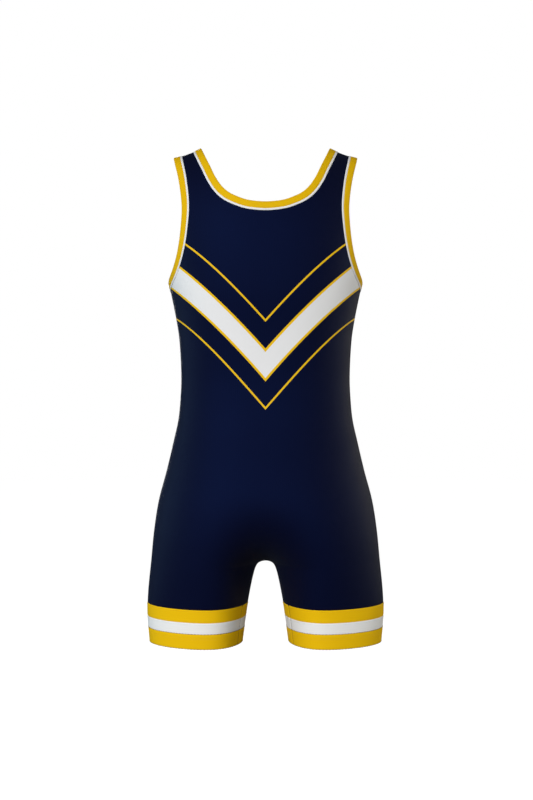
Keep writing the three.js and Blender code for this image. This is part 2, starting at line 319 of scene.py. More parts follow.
def panelGrid(side, panelInset):
    # rows of (across, height) from the leg band to the shoulder seam
    neckCut = inset(neckQuarters[side], panelInset)
    armCut = inset(armQuarters[side], panelInset)
    neckCut[-1, 1] = armCut[-1, 1] = 0
    midRows = len(armCut) - len(neckCut)
    midHeights = neckCut[0, 2] - fineness["backMidSpan"] * (1 - np.arange(midRows) / max(midRows, 1))
    midLine = onSide(side, np.zeros(midRows), midHeights)
    innerCut = np.concatenate([midLine, neckCut])

    margin = fineness["seamMargin"]
    u = np.linspace(0, 1, fineness["columns"] + 1)
    u = np.concatenate([[0, margin], u[1:-1], [1 - margin, 1]])[None, :]

    crotch, level = clothForm["crotch"], fineness["levelRow"]
    spread = fineness["rowSpread"]
    low = 1 - np.arange(fineness["rowsBelowCrotch"]) / fineness["rowsBelowCrotch"]
    mid = np.arange(fineness["rowsAboveCrotch"]) / fineness["rowsAboveCrotch"]
    top = np.arange(fineness["rowsToEdges"]) / fineness["rowsToEdges"]
    lowHeights = crotch + (legBands["underlap"] - crotch) * low**spread
    midRowHeights = crotch + (level - crotch) * mid**spread
    inner = np.concatenate([lowHeights, midRowHeights, level + (innerCut[0, 2] - level) * top])[:, None]
    outer = np.concatenate([lowHeights, midRowHeights, level + (armCut[0, 2] - level) * top])[:, None]
    legs = np.concatenate([np.ones(len(low)), (1 - mid) ** 2, np.zeros(len(top))])[:, None]

    outerWidth = halfWidthAt(outer)
    startAngle, endAngle = angleOf(0, inner), angleOf(outerWidth, outer)
    share = (1 - legs) * np.sin(math.pi * u / 2) + legs * (1 - np.cos(math.pi * u)) / 2
    x = outerWidth * share
    z = inner + 0 * x
    for _ in range(fineness["fitRounds"]):
        z = np.where(legs > 0, inner, heightAt(x, rowAngle(startAngle, endAngle, u)))
        x = innerLegAt(z) + (halfWidthAt(z) - innerLegAt(z)) * share
    trunkX, trunkZ = x, z

    startTurn = np.arcsin(innerCut[:, 0] / halfWidthAt(innerCut[:, 2]))[:, None]
    endTurn = np.arcsin(np.minimum(1, armCut[:, 0] / halfWidthAt(armCut[:, 2])))[:, None]
    endTurn[0] = math.pi / 2
    startAngle = rollAngle(side, innerCut)[:, None]
    endAngle = rollAngle(side, armCut)[:, None]
    startAngle[-1] = endAngle[-1] = math.pi / 2
    x = innerCut[:, :1] * (1 - u) + armCut[:, :1] * u
    for _ in range(fineness["fitRounds"]):
        z = heightAt(x, rowAngle(startAngle, endAngle, u))
        x = halfWidthAt(z) * np.sin(startTurn + (endTurn - startTurn) * u)
    return np.concatenate([trunkX, x]), np.concatenate([trunkZ, z])


def newObject(name, data):
    made = bpy.data.objects.new(name, data)
    bpy.context.scene.collection.objects.link(made)
    return made


def meshObject(name, vertices, faces, uvs, material):
    mesh = bpy.data.meshes.new(name)
    mesh.from_pydata([tuple(v) for v in vertices], [], faces)
    layer = mesh.uv_layers.new(name="clothPlace")
    loopVertices = np.empty(len(mesh.loops), dtype=np.int32)
    mesh.loops.foreach_get("vertex_index", loopVertices)
    layer.data.foreach_set("uv", np.asarray(uvs)[loopVertices].astype(np.float32).ravel())
    mesh.materials.append(material)
    mesh.shade_smooth()
    mesh.validate()
    return newObject(name, mesh)


def turnedOut(vertices, faces):
    # the signed volume says whether a closed mesh's faces point outwards
    v = np.asarray(vertices)
    volume = 0.0
    for face in faces:
        a = v[face[0]]
        for b, c in zip(face[1:-1], face[2:]):
            volume += np.dot(a, np.cross(v[b], v[c]))
    return faces if volume > 0 else [tuple(reversed(face)) for face in faces]


def settle(piece, node):
    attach(piece, "root")
    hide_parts(node)


# Leg bands: heights of their edges, and how far each stands out and reaches in
legBands = {
    "underlap": -0.7692,  # the panels run down behind the upper band
    "joinTurn": 0.443,  # where each band's own seam lies, behind the inner leg
    "joinWidth": 0.0016,
    "joinDip": 0.0010,
    "joinClear": 0.03,  # no plain station lies this near the seam, in radians
    "legRadius": 0.08,
    "edgeRound": 0.0022,
    "rows": {
        "band": {"top": -0.7677, "bottom": -0.7896, "out": 0.00055, "inside": -0.0012},
        "stripe": {"top": -0.7894, "bottom": -0.8087, "out": 0.0006, "inside": -0.0012},
        "cuff": {"top": -0.8085, "bottom": -0.8342, "out": 0.00085, "inside": -0.0015},
    },
}

panelCut = {
    "inset": 0.006,  # the panels end inside the folded bindings
    "thickness": 0.0009,
    "seamDip": 0.00035,
    "rollStretch": 0.07,  # the roll is longer than it is high
}


def makePanel(name, side, node):
    x, z = panelGrid(side, panelCut["inset"])
    places = onSide(side, x, z)
    normals = normalAt(places)
    steps = np.linalg.norm(np.diff(places, axis=1), axis=2)
    along = x[:, :1] + np.concatenate([np.zeros((len(x), 1)), np.cumsum(steps, axis=1)], axis=1)
    angle = np.clip((z - clothForm["rollStart"]) / rollHeight(x), 0, 1)
    up = z + panelCut["rollStretch"] * angle**3
    legRows = fineness["rowsBelowCrotch"]
    trunkRows = legRows + fineness["rowsAboveCrotch"] + fineness["rowsToEdges"]
    dips = np.zeros(x.shape)
    dips[: trunkRows + 1, -1] = panelCut["seamDip"]  # side seam
    dips[: legRows + 1, 0] = panelCut["seamDip"]  # inner leg
    dips[-1] = panelCut["seamDip"]  # shoulder
    outer = places - normals * dips[..., None]
    inner = places - normals * panelCut["thickness"]

    vertices, uvs, right, left = [], [], [], []
    for layer in (outer, inner):
        start = len(vertices)
        rightNumbers = start + np.arange(x.size).reshape(x.shape)
        vertices.extend(layer.reshape(-1, 3))
        uvs.extend(np.stack([along, up], axis=-1).reshape(-1, 2))
        leftNumbers = rightNumbers + x.size
        onMiddle = np.abs(x[:, 0]) < 1e-7
        leftNumbers[onMiddle, 0] = rightNumbers[onMiddle, 0]
        vertices.extend((layer * (-1, 1, 1)).reshape(-1, 3))
        uvs.extend(np.stack([-along, up], axis=-1).reshape(-1, 2))
        right.append(rightNumbers)
        left.append(leftNumbers)

    faces = []
    edges = {}
    for half, flipped in ((right, False), (left, True)):
        for low, high in zip(half[0][:-1], half[0][1:]):
            for a, b, c, d in zip(low[:-1], low[1:], high[1:], high[:-1]):
                face = (a, b, c, d) if flipped == (side > 0) else (d, c, b, a)
                faces.append(tuple(int(i) for i in face))
    under = {}
    for half in (right, left):
        under.update(zip(half[0].ravel().tolist(), half[1].ravel().tolist()))
    for face in faces:
        for a, b in zip(face, face[1:] + face[:1]):
            edges[(a, b)] = (b, a) not in edges
            if not edges[(a, b)]:
                edges[(b, a)] = False
    innerFaces = [tuple(under[i] for i in reversed(face)) for face in faces]
    rim = [(b, a, under[a], under[b]) for (a, b), free in edges.items() if free]
    faces = turnedOut(vertices, faces + innerFaces + rim)
    used = sorted({i for face in faces for i in face})
    renumber = {old: new for new, old in enumerate(used)}
    faces = [tuple(renumber[i] for i in face) for face in faces]
    vertices = np.array(vertices)[used]
    piece = meshObject(name, vertices, faces, np.array(uvs)[used], navyPrinted)
    piece.data.materials.append(navyInside)
    printed = len(innerFaces)
    for face in piece.data.polygons[printed:]:
        face.material_index = 1  # the inside is knit without the print
    settle(piece, node)
    return piece


# Bindings and piping: points round the section as (distance into the cloth, height off it)
trimSections = {
    "binding": [
        (0.0002, 0.00042), (0.0011, 0.00070), (0.0032, 0.00078), (0.0060, 0.00080), (0.0086, 0.00078),
        (0.0104, 0.00068), (0.0111, 0.00038), (0.0114, -0.0001), (0.0112, -0.0010), (0.0106, -0.0014),
        (0.0086, -0.0016), (0.0050, -0.0017), (0.0018, -0.0016), (0.0005, -0.0013), (-0.0001, -0.0008),
        (-0.0002, -0.0002),
    ],
    "piping": [
        (0.0112, 0.00005), (0.0114, 0.00045), (0.0121, 0.00072), (0.0130, 0.00080), (0.0138, 0.00072),
        (0.0145, 0.00045), (0.0148, 0.00005), (0.0147, -0.0004), (0.0130, -0.0006), (0.0113, -0.0004),
    ],
}


def loopOf(quarters, closedAtMiddle):
    # joins quarters into one closed loop of places and inward ways, mirrored where it must be
    back, front = quarters[backSide], quarters[frontSide]
    places = np.concatenate([back["places"], front["places"][-2::-1]])
    into = np.concatenate([back["into"], front["into"][-2::-1]])
    if closedAtMiddle:
        flip = np.array([-1, 1, 1])
        places = np.concatenate([places, places[-2:0:-1] * flip])
        into = np.concatenate([into, into[-2:0:-1] * flip])
    else:
        places, into = places[:-1], into[:-1]
    return places, into


def gridUvs(along, across):
    return np.stack(np.meshgrid(along, across, indexing="ij"), axis=-1).reshape(-1, 2)


def closedTube(count, around):
    # quads of a section carried round a closed loop
    faces = []
    for i in range(count):
        for j in range(around):
            i2, j2 = (i + 1) % count, (j + 1) % around
            faces.append((i * around + j, i2 * around + j, i2 * around + j2, i * around + j2))
    return faces


def makeTrim(name, node, loop, section, material, mirrored=False):
    places, into = loop
    rings = []
    for distance, lift in section:
        ring = ontoCloth(places + into * distance)
        rings.append(ring + normalAt(ring) * lift)
    grid = np.stack(rings, axis=1)
    if mirrored:
        grid = grid * (-1, 1, 1)
    count, around = grid.shape[:2]
    uvs = gridUvs(lengthAlong(places), lengthAlong(section))
    faces = closedTube(count, around)
    vertices = grid.reshape(-1, 3)
    piece = meshObject(name, vertices, turnedOut(vertices, faces), uvs, material)
    settle(piece, node)
    return piece


def legTurns():
    # turns round a leg, with extra ones where the band's own seam dips
    turns = np.linspace(0, 2 * math.pi, fineness["legStations"], endpoint=False)
    join = 2 * math.pi - legBands["joinTurn"]
    near = join + np.arange(-2, 3) * legBands["joinWidth"] / legBands["legRadius"]
    turns = turns[np.abs(turns - join) > legBands["joinClear"]]
    return np.sort(np.concatenate([turns, near])), join


def ringAt(turns, z):
    side = np.where(turns < math.pi, frontSide, backSide)
    x = innerLegAt(z) + (halfWidthAt(z) - innerLegAt(z)) * (1 - np.cos(turns)) / 2
    return np.stack([x, side * depthAt(side, x, z), np.full(len(turns), z)], axis=-1)


def makeLegBand(name, node, size, material, mirrored):
    turns, join = legTurns()
    fromJoin = (turns - join) * legBands["legRadius"] / legBands["joinWidth"]
    dips = legBands["joinDip"] * np.exp(-(fromJoin**2))
    top, bottom, out, inside = (size[key] for key in ("top", "bottom", "out", "inside"))
    edge = legBands["edgeRound"]
    section = [
        (top, -0.0001), (top - 0.1 * edge, out * 0.55), (top - 0.4 * edge, out * 0.88), (top - edge, out),
        *[(top - edge + (bottom - top + 2 * edge) * k / 6, out) for k in range(1, 6)],
        (bottom + edge, out), (bottom + 0.4 * edge, out * 0.88), (bottom + 0.1 * edge, out * 0.55),
        (bottom, -0.0001), (bottom, inside * 0.8), (bottom + 0.4 * edge, inside),
        *[(bottom + (top - bottom) * k / 4, inside) for k in range(1, 4)],
        (top - 0.4 * edge, inside), (top, inside * 0.8),
    ]
    rings = []
    for z, lift in section:
        ring = ringAt(turns, z)
        offset = lift - (dips if lift > 0 else 0)
        rings.append(ring + normalAt(ring) * np.broadcast_to(offset, len(turns))[:, None])
    grid = np.stack(rings, axis=1)
    if mirrored:
        grid = grid * (-1, 1, 1)
    count, around = grid.shape[:2]
    uvs = gridUvs(lengthAlong(grid[:, 0]), [z for z, _ in section])
    vertices = grid.reshape(-1, 3)
    piece = meshObject(name, vertices, turnedOut(vertices, closedTube(count, around)), uvs, material)
    settle(piece, node)
    return piece


# Shader groups

def socketValue(node, values):
    for key, value in values.items():
        node.inputs[key].default_value = value
    return node


class NodeSheet:
    # short ways to add nodes to a tree and join them
    def __init__(self, tree):
        self.tree = tree

    def add(self, kind, **settings):
        node = self.tree.nodes.new(kind)
        for key, value in settings.items():
            setattr(node, key, value)
        return node

    def join(self, output, target):
        self.tree.links.new(output, target)

    def split(self, vector):
        node = self.add("ShaderNodeSeparateXYZ")
        self.join(vector, node.inputs[0])
        return node.outputs

    def math(self, operation, *values, clamp=False):
        node = self.add("ShaderNodeMath", operation=operation, use_clamp=clamp)
        for socket, value in zip(node.inputs, values):
            if isinstance(value, (int, float)):
                socket.default_value = value
            else:
                self.join(value, socket)
        return node.outputs[0]

    def plus(self, *values, clamp=False):
        return self.math("ADD", *values, clamp=clamp)

    def minus(self, *values):
        return self.math("SUBTRACT", *values)

    def times(self, *values):
        return self.math("MULTIPLY", *values)

    def over(self, *values, clamp=False):
        return self.math("DIVIDE", *values, clamp=clamp)

    def absolute(self, value):
        return self.math("ABSOLUTE", value)

    def mix(self, factor, first, second):
        node = self.add("ShaderNodeMix", data_type="RGBA")
        for key, value in ((0, factor), (6, first), (7, second)):
            if isinstance(value, (tuple, list)):
                node.inputs[key].default_value = (*value, 1) if len(value) == 3 else value
            elif isinstance(value, (int, float)):
                node.inputs[key].default_value = value
            else:
                self.join(value, node.inputs[key])
        return node.outputs[2]


def newGroup(name, vectors, values, results):
    # a shader group with named vectors and values going in, and named values coming out
    group = bpy.data.node_groups.new(name, "ShaderNodeTree")
    face = group.interface
    for label in vectors:
        face.new_socket(label, in_out="INPUT", socket_type="NodeSocketVector")
    for label, value in values.items():
        face.new_socket(label, in_out="INPUT", socket_type="NodeSocketFloat").default_value = value
    for label in results:
        face.new_socket(label, in_out="OUTPUT", socket_type="NodeSocketFloat")
    sheet = NodeSheet(group)
    return sheet, sheet.add("NodeGroupInput").outputs, sheet.add("NodeGroupOutput").inputs


knitPlan = {"fineScale": 900.0, "broadScale": 24.0, "fineShare": 0.6}


def knitGroup():
    # the face of a fine stretch knit: columns of small V stitches, slight unevenness, and painted shade in
    # broad stripes along the columns
    values = {"Wale": 0.0008, "Course": 0.0007}
    sheet, given, out = newGroup("stretchKnit", ["Place"], values, ["Height", "Fleck", "Wale Shade"])
    place = sheet.split(given["Place"])
    broadTurn = sheet.times(sheet.over(place["X"], given["Wale"]), math.pi / 2)
    # Wale Shade is painted shade: stripes along the columns, darker in their troughs
    sheet.join(sheet.math("MULTIPLY_ADD", sheet.math("COSINE", broadTurn), 0.5, 0.5), out["Wale Shade"])
    column = sheet.math("FRACT", sheet.over(place["X"], given["Wale"]))
    fromMiddle = sheet.times(sheet.absolute(sheet.minus(column, 0.5)), 2.0)
    course = sheet.over(place["Y"], given["Course"])
    slanted = sheet.math("FRACT", sheet.plus(course, sheet.times(fromMiddle, 0.5)))
    legHeight = sheet.minus(1.0, sheet.absolute(sheet.minus(slanted, 0.5)))
    groove = sheet.minus(1.0, sheet.math("POWER", fromMiddle, 3.0))
    height = sheet.times(groove, legHeight)
    noise = sheet.add("ShaderNodeTexNoise")
    socketValue(noise, {"Scale": knitPlan["fineScale"], "Detail": 2.0, "Roughness": 0.6})
    sheet.join(given["Place"], noise.inputs["Vector"])
    broad = sheet.add("ShaderNodeTexNoise")
    socketValue(broad, {"Scale": knitPlan["broadScale"], "Detail": 3.0, "Roughness": 0.5})
    sheet.join(given["Place"], broad.inputs["Vector"])
    fine = sheet.times(noise.outputs[0], knitPlan["fineShare"])
    fleck = sheet.plus(fine, sheet.times(broad.outputs[0], 1 - knitPlan["fineShare"]))
    sheet.join(height, out["Height"])
    sheet.join(fleck, out["Fleck"])
    return sheet.tree


def lineGroup():
    # distance along the cloth from one bowed chevron line, positive above it
    values = {"Tip": -0.3, "Slope": 1.1, "Bow": 1.0, "Curl": 0.0}
    sheet, given, out = newGroup("chevronLine", ["Place", "Facing"], values, ["Distance"])
    place, facing = sheet.split(given["Place"]), sheet.split(given["Facing"])
    across = sheet.absolute(place["X"])
    square = sheet.times(across, across)
    rise = sheet.math("MULTIPLY_ADD", across, given["Slope"], given["Tip"])
    bow = sheet.times(square, given["Bow"])
    curl = sheet.times(sheet.times(square, across), given["Curl"])
    line = sheet.minus(sheet.minus(rise, bow), curl)
    above = sheet.minus(place["Z"], line)
    bowSlope = sheet.times(sheet.times(across, given["Bow"]), 2.0)
    curlSlope = sheet.times(sheet.times(square, given["Curl"]), 3.0)
    slopeHere = sheet.minus(sheet.minus(given["Slope"], bowSlope), curlSlope)
    outward = sheet.times(facing["X"], sheet.math("SIGN", place["X"]))
    lost = sheet.minus(facing["Z"], sheet.times(slopeHere, outward))
    squares = sheet.math("MULTIPLY_ADD", slopeHere, slopeHere, 1.0)
    steep = sheet.minus(squares, sheet.times(lost, lost))
    lean = sheet.math("SQRT", sheet.math("MAXIMUM", steep, 0.2))
    sheet.join(sheet.over(above, lean), out["Distance"])
    return sheet.tree


stretchKnit = knitGroup()
chevronLine = lineGroup()


def clothMaterial(name, look):
    # a knit material with its own colour, weave scale and sheen
    material = bpy.data.materials.new(name)
    material.use_nodes = True
    material.node_tree.nodes.clear()
    sheet = NodeSheet(material.node_tree)
    shader = sheet.add("ShaderNodeBsdfPrincipled")
    output = sheet.add("ShaderNodeOutputMaterial")
    sheet.join(shader.outputs[0], output.inputs[0])
    place = sheet.add("ShaderNodeUVMap", uv_map="clothPlace")
    knit = sheet.add("ShaderNodeGroup", node_tree=stretchKnit)
    socketValue(knit, {"Wale": look["wale"], "Course": look["course"]})
    sheet.join(place.outputs[0], knit.inputs["Place"])
    socketValue(
        shader,
        {
            "Specular IOR Level": look["specular"],
            "Specular Tint": (*look["specularTint"], 1),
            "Sheen Weight": look["sheen"],
            "Sheen Roughness": look["sheenRoughness"],
            "Sheen Tint": (*look["sheenTint"], 1),
        },
    )
    bump = sheet.add("ShaderNodeBump")
    socketValue(bump, {"Strength": look["bump"], "Distance": look["bumpDepth"]})
    sheet.join(knit.outputs["Height"], bump.inputs["Height"])
    sheet.join(bump.outputs[0], shader.inputs["Normal"])
    rough = sheet.math("MULTIPLY_ADD", knit.outputs["Fleck"], look["roughnessRange"], look["roughness"])
    sheet.join(rough, shader.inputs["Roughness"])
    # the colour darkens with the random fleck, which is the knit's own unevenness, and with the wale
    # stripes, which are painted shade
    dark = tuple(c * look["fleckAndShadeDark"] for c in look["colour"])
    fleckAndWaleShade = sheet.math("MULTIPLY_ADD", knit.outputs["Wale Shade"], look["waleShare"],
                      sheet.times(knit.outputs["Fleck"], 1 - look["waleShare"]))
    fleck = sheet.mix(fleckAndWaleShade, dark, tuple(look["colour"]))
    return material, sheet, shader, bump, fleck


twillLean = 1.2


def bandedRibGroup():
    # raised lines along a strip, slanted ones across it, or a share of both
    values = {"Rib": 0.0018, "Slant": 0.0, "Slant Pitch": 0.002}
    sheet, given, out = newGroup("bandedRib", ["Place"], values, ["Height"])
    place = sheet.split(given["Place"])
    ribTurn = sheet.times(sheet.over(place["Y"], given["Rib"]), 2 * math.pi)
    rib = sheet.math("MULTIPLY_ADD", sheet.math("COSINE", ribTurn), 0.5, 0.5)
    slanted = sheet.plus(place["X"], sheet.times(place["Y"], twillLean))
    slantTurn = sheet.times(sheet.over(slanted, given["Slant Pitch"]), 2 * math.pi)
    slant = sheet.math("MULTIPLY_ADD", sheet.math("SINE", slantTurn), 0.5, 0.5)
    ribShare = sheet.times(rib, sheet.minus(1.0, given["Slant"]))
    sheet.join(sheet.plus(ribShare, sheet.times(slant, given["Slant"])), out["Height"])
    return sheet.tree


bandedRib = bandedRibGroup()

trimLook = {
    "colour": (0.76, 0.47, 0.004),
    "fleckAndShadeDark": 0.93,
    "waleShare": 0.1,
    "wale": 0.0008,
    "course": 0.0007,
    "bump": 0.25,
    "bumpDepth": 0.0002,
    "roughness": 0.55,
    "roughnessRange": 0.2,
    "specular": 0.04,
    "specularTint": (1.0, 1.0, 1.0),
    "sheen": 0.008,
    "sheenRoughness": 0.4,
    "sheenTint": (1.0, 0.9, 0.6),
    "rib": 0.0018,
    "slant": 0.0,
    "slantPitch": 0.002,
    # painted shade: the share of the colour left in the rib grooves
    "ribGrooveShade": 0.94,
    "ribDepth": 0.0001,
}


def plainCloth(name, changes):
    look = {**trimLook, **changes}
    material, sheet, shader, bump, fleck = clothMaterial(name, look)
    ribs = sheet.add("ShaderNodeGroup", node_tree=bandedRib)
    socketValue(ribs, {"Rib": look["rib"], "Slant": look["slant"], "Slant Pitch": look["slantPitch"]})
    sheet.join(sheet.add("ShaderNodeUVMap", uv_map="clothPlace").outputs[0], ribs.inputs["Place"])
    # painted shade: the grooves between the ribs are coloured darker than the rib tops
    shade = sheet.mix(ribs.outputs["Height"], (look["ribGrooveShade"],) * 3, (1.0, 1.0, 1.0))
    grooveShaded = sheet.add("ShaderNodeMix", data_type="RGBA", blend_type="MULTIPLY")
    grooveShaded.inputs[0].default_value = 1.0
    sheet.join(fleck, grooveShaded.inputs[6])
    sheet.join(shade, grooveShaded.inputs[7])
    sheet.join(grooveShaded.outputs[2], shader.inputs["Base Color"])
    ribBump = sheet.add("ShaderNodeBump")
    socketValue(ribBump, {"Strength": 0.5, "Distance": look["ribDepth"]})
    sheet.join(ribs.outputs["Height"], ribBump.inputs["Height"])
    sheet.join(bump.outputs[0], ribBump.inputs["Normal"])
    sheet.join(ribBump.outputs[0], shader.inputs["Normal"])
    return material


chevronPrint = {
    "thinWidth": 0.0030,
    "edgeWidth": 0.0037,
    "softness": 0.0003,
    "gold": (0.76, 0.46, 0.001),
    "white": (0.73, 0.73, 0.725),
    "lines": {
        "thinUpper": {"Tip": -0.29773, "Slope": 1.0956, "Bow": 0.477, "Curl": 4.19},
        "bandTop": {"Tip": -0.34554, "Slope": 1.1225, "Bow": 1.038, "Curl": 0.11},
        "bandBottom": {"Tip": -0.39318, "Slope": 1.1744, "Bow": 1.274, "Curl": -0.29},
        "thinLower": {"Tip": -0.43960, "Slope": 1.1456, "Bow": -0.061, "Curl": 6.88},
    },
}


navyLook = {
    "colour": (0.0026, 0.0033, 0.0158),
    "fleckAndShadeDark": 0.62,
    "waleShare": 0.5,
    "specular": 0.17,
    "specularTint": (0.07, 0.22, 1.0),
    "roughness": 0.55,
    "roughnessRange": 0.15,
    "sheen": 0.012,
    "sheenRoughness": 0.5,
    "sheenTint": (0.75, 0.9, 1.0),
}


def insideMaterial():
    # the knit's unprinted inner face
    material, sheet, shader, bump, fleck = clothMaterial("navyInside", {**trimLook, **navyLook})
    sheet.join(fleck, shader.inputs["Base Color"])
    return material


def printedMaterial():
    material, sheet, shader, bump, fleck = clothMaterial("navyPrinted", {**trimLook, **navyLook})
    coordinates = sheet.add("ShaderNodeTexCoord").outputs
    distances = {}
    for key, values in chevronPrint["lines"].items():
        line = sheet.add("ShaderNodeGroup", node_tree=chevronLine)
        socketValue(line, values)
        sheet.join(coordinates["Object"], line.inputs["Place"])
        sheet.join(coordinates["Normal"], line.inputs["Facing"])
        distances[key] = line.outputs["Distance"]
    soft = chevronPrint["softness"]

    def stripe(distance, width):
        off = sheet.minus(width / 2, sheet.absolute(distance))
        return sheet.plus(sheet.over(off, soft), 0.5, clamp=True)

    under = sheet.over(sheet.times(distances["bandTop"], -1.0), soft, clamp=True)
    over = sheet.over(distances["bandBottom"], soft, clamp=True)
    white = sheet.times(under, over)
    gold = sheet.math("MAXIMUM", stripe(distances["thinUpper"], chevronPrint["thinWidth"]),
                      stripe(distances["thinLower"], chevronPrint["thinWidth"]))
    for key in ("bandTop", "bandBottom"):
        gold = sheet.math("MAXIMUM", gold, stripe(distances[key], chevronPrint["edgeWidth"]))
    colour = sheet.mix(white, fleck, chevronPrint["white"])
    colour = sheet.mix(gold, colour, chevronPrint["gold"])
    sheet.join(colour, shader.inputs["Base Color"])
    return material


def threadMaterial(name, colour):
    # twisted sewing thread, with its twist running along the stitch and painted shade in the twist's grooves
    material = bpy.data.materials.new(name)
    material.use_nodes = True
    sheet = NodeSheet(material.node_tree)
    shader = material.node_tree.nodes["Principled BSDF"]
    place = sheet.add("ShaderNodeTexCoord").outputs["Object"]
    twist = sheet.add("ShaderNodeTexWave", bands_direction="DIAGONAL")
    socketValue(twist, {"Scale": 900.0, "Distortion": 0.5})
    sheet.join(place, twist.inputs["Vector"])
    # painted shade: the twist's grooves are coloured a quarter darker
    tone = sheet.mix(twist.outputs["Fac"], tuple(c * 0.75 for c in colour), colour)
    sheet.join(tone, shader.inputs["Base Color"])
    bump = sheet.add("ShaderNodeBump")
    socketValue(bump, {"Strength": 0.3, "Distance": 0.0001})
    sheet.join(twist.outputs["Fac"], bump.inputs["Height"])
    sheet.join(bump.outputs[0], shader.inputs["Normal"])
    socketValue(shader, {"Roughness": 0.5, "Specular IOR Level": 0.3})
    return material


whiteLook = {"colour": (0.80, 0.80, 0.80), "sheenTint": (1.0, 1.0, 1.0), "roughness": 0.6}
navyPrinted = printedMaterial()
navyInside = insideMaterial()
goldBinding = plainCloth("goldBinding", {"colour": (0.715, 0.430, 0.003)})
flatRibs = {"rib": 0.004, "ribGrooveShade": 0.985, "ribDepth": 0.00005}
goldBand = plainCloth("goldBand", {**flatRibs, "colour": (0.82, 0.495, 0.004)})
whiteTrim = plainCloth("whiteTrim", {**whiteLook, "slant": 0.9, "ribGrooveShade": 0.88, "ribDepth": 0.0002})
whiteBand = plainCloth("whiteBand", {**whiteLook, **flatRibs, "colour": (0.83, 0.83, 0.82)})
# the ochre and grey threads sew the bands' own seams: real stitches, whose dark colour is painted shade in
# the seam
threads = {
    "gold": threadMaterial("goldThread", (0.80, 0.50, 0.01)),
    "white": threadMaterial("whiteThread", (0.75, 0.75, 0.75)),
    "seamShadeGrey": threadMaterial("seamShadeGreyThread", (0.28, 0.28, 0.29)),
    "navy": threadMaterial("navyThread", (0.006, 0.01, 0.03)),
    "seamShadeOchre": threadMaterial("seamShadeOchreThread", (0.20, 0.11, 0.004)),
}
print("materials made")

backCloth = makePanel("backPanelCloth", backSide, "back_panel")
frontCloth = makePanel("frontPanelCloth", frontSide, "front_panel")
print("panels made")

neckLoop = loopOf(neckQuarters, True)
armLoop = loopOf(armQuarters, False)
trims = {
    "neckBinding": makeTrim("neckBindingCloth", "neck_binding", neckLoop,
                            trimSections["binding"], goldBinding),
    "neckPiping": makeTrim("neckPipingCloth", "neck_piping", neckLoop,
                           trimSections["piping"], whiteTrim),
}
armParts = (("Binding", "gold_binding", goldBinding), ("Piping", "white_piping", whiteTrim))
legParts = (
    ("Band", "gold_band", goldBand),
    ("Stripe", "white_band", whiteBand),
    ("Cuff", "gold_cuff", goldBand),
)
for sideName, mirrored in (("right", False), ("left", True)):
    for part, slotName, material in armParts:
        trims[sideName + part] = makeTrim(
            f"{sideName}Armhole{part}Cloth", f"{sideName}_armhole_{part.lower()}",
            armLoop, trimSections[part.lower()], material, mirrored)
    for part, slotName, material in legParts:
        trims[sideName + part] = makeLegBand(
            f"{sideName}Leg{part}Cloth", f"{sideName}_leg_{part.lower()}",
            legBands["rows"][part.lower()], material, mirrored)
print("bindings, piping and leg bands made")

# Sewing: short threads set along rows by one node tree

stitchPlan = {
    "height": 0.0001,  # each thread's middle above the cloth it is sewn to
    "reach": 0.0006,  # how far to each side a stitch looks for its direction
    "unevenLow": (0.9, 0.9, 0.85),
    "unevenHigh": (1.1, 1.1, 1.1),
    "seed": 7,
    "rows": {
        # length, pitch and thickness of a thread, and its slant across the row in radians
        "topStitch": {"length": 0.0024, "pitch": 0.0030, "thick": 0.00042, "slant": 0.0},
        "coverStitch": {"length": 0.0026, "pitch": 0.0032, "thick": 0.00045, "slant": 0.35},
        "flatSeam": {"length": 0.0030, "pitch": 0.0022, "thick": 0.00045, "slant": 1.0},
        "joinStitch": {"length": 0.0026, "pitch": 0.0028, "thick": 0.0007, "slant": 0.0},
        "edgeStitch": {"length": 0.0036, "pitch": 0.0054, "thick": 0.0010, "slant": 0.2},
    },
    "bindingRows": (0.0021, 0.0094),  # distances into the cloth from its cut edge
    "bindingLift": 0.00076,
    "pipingRow": 0.0156,
    "legRows": [
        # piece, kind, thread, slot, and rows as (band, edge, height above it, lift off the cloth)
        ("bandStitches", "coverStitch", "gold", "gold_band",
         [("band", "top", -0.0026, 0.00055), ("band", "top", -0.0190, 0.00055)]),
        ("stripeStitches", "coverStitch", "white", "white_band", [("stripe", "top", -0.0026, 0.0006)]),
        ("cuffEdgeStitches", "edgeStitch", "navy", "gold_cuff",
         [("cuff", "top", 0.0002, 0.0005), ("cuff", "bottom", 0.0006, 0.0006)]),
        ("cuffFoldStitches", "topStitch", "gold", "gold_cuff",
         [("cuff", "bottom", 0.0165, 0.00085), ("cuff", "bottom", 0.0195, 0.00085)]),
    ],
    "underarm": -0.2445,
    "crotchClear": 0.0008,
    "shoulderClear": 0.016,  # the shoulder seam runs between the trims
    "bandClear": 0.001,
    "joinLift": {"band": -0.0004, "stripe": -0.0004, "cuff": -0.0001},
    "samples": {"ring": 240, "side": 200, "innerLeg": 60, "shoulder": 30, "join": 60},
}


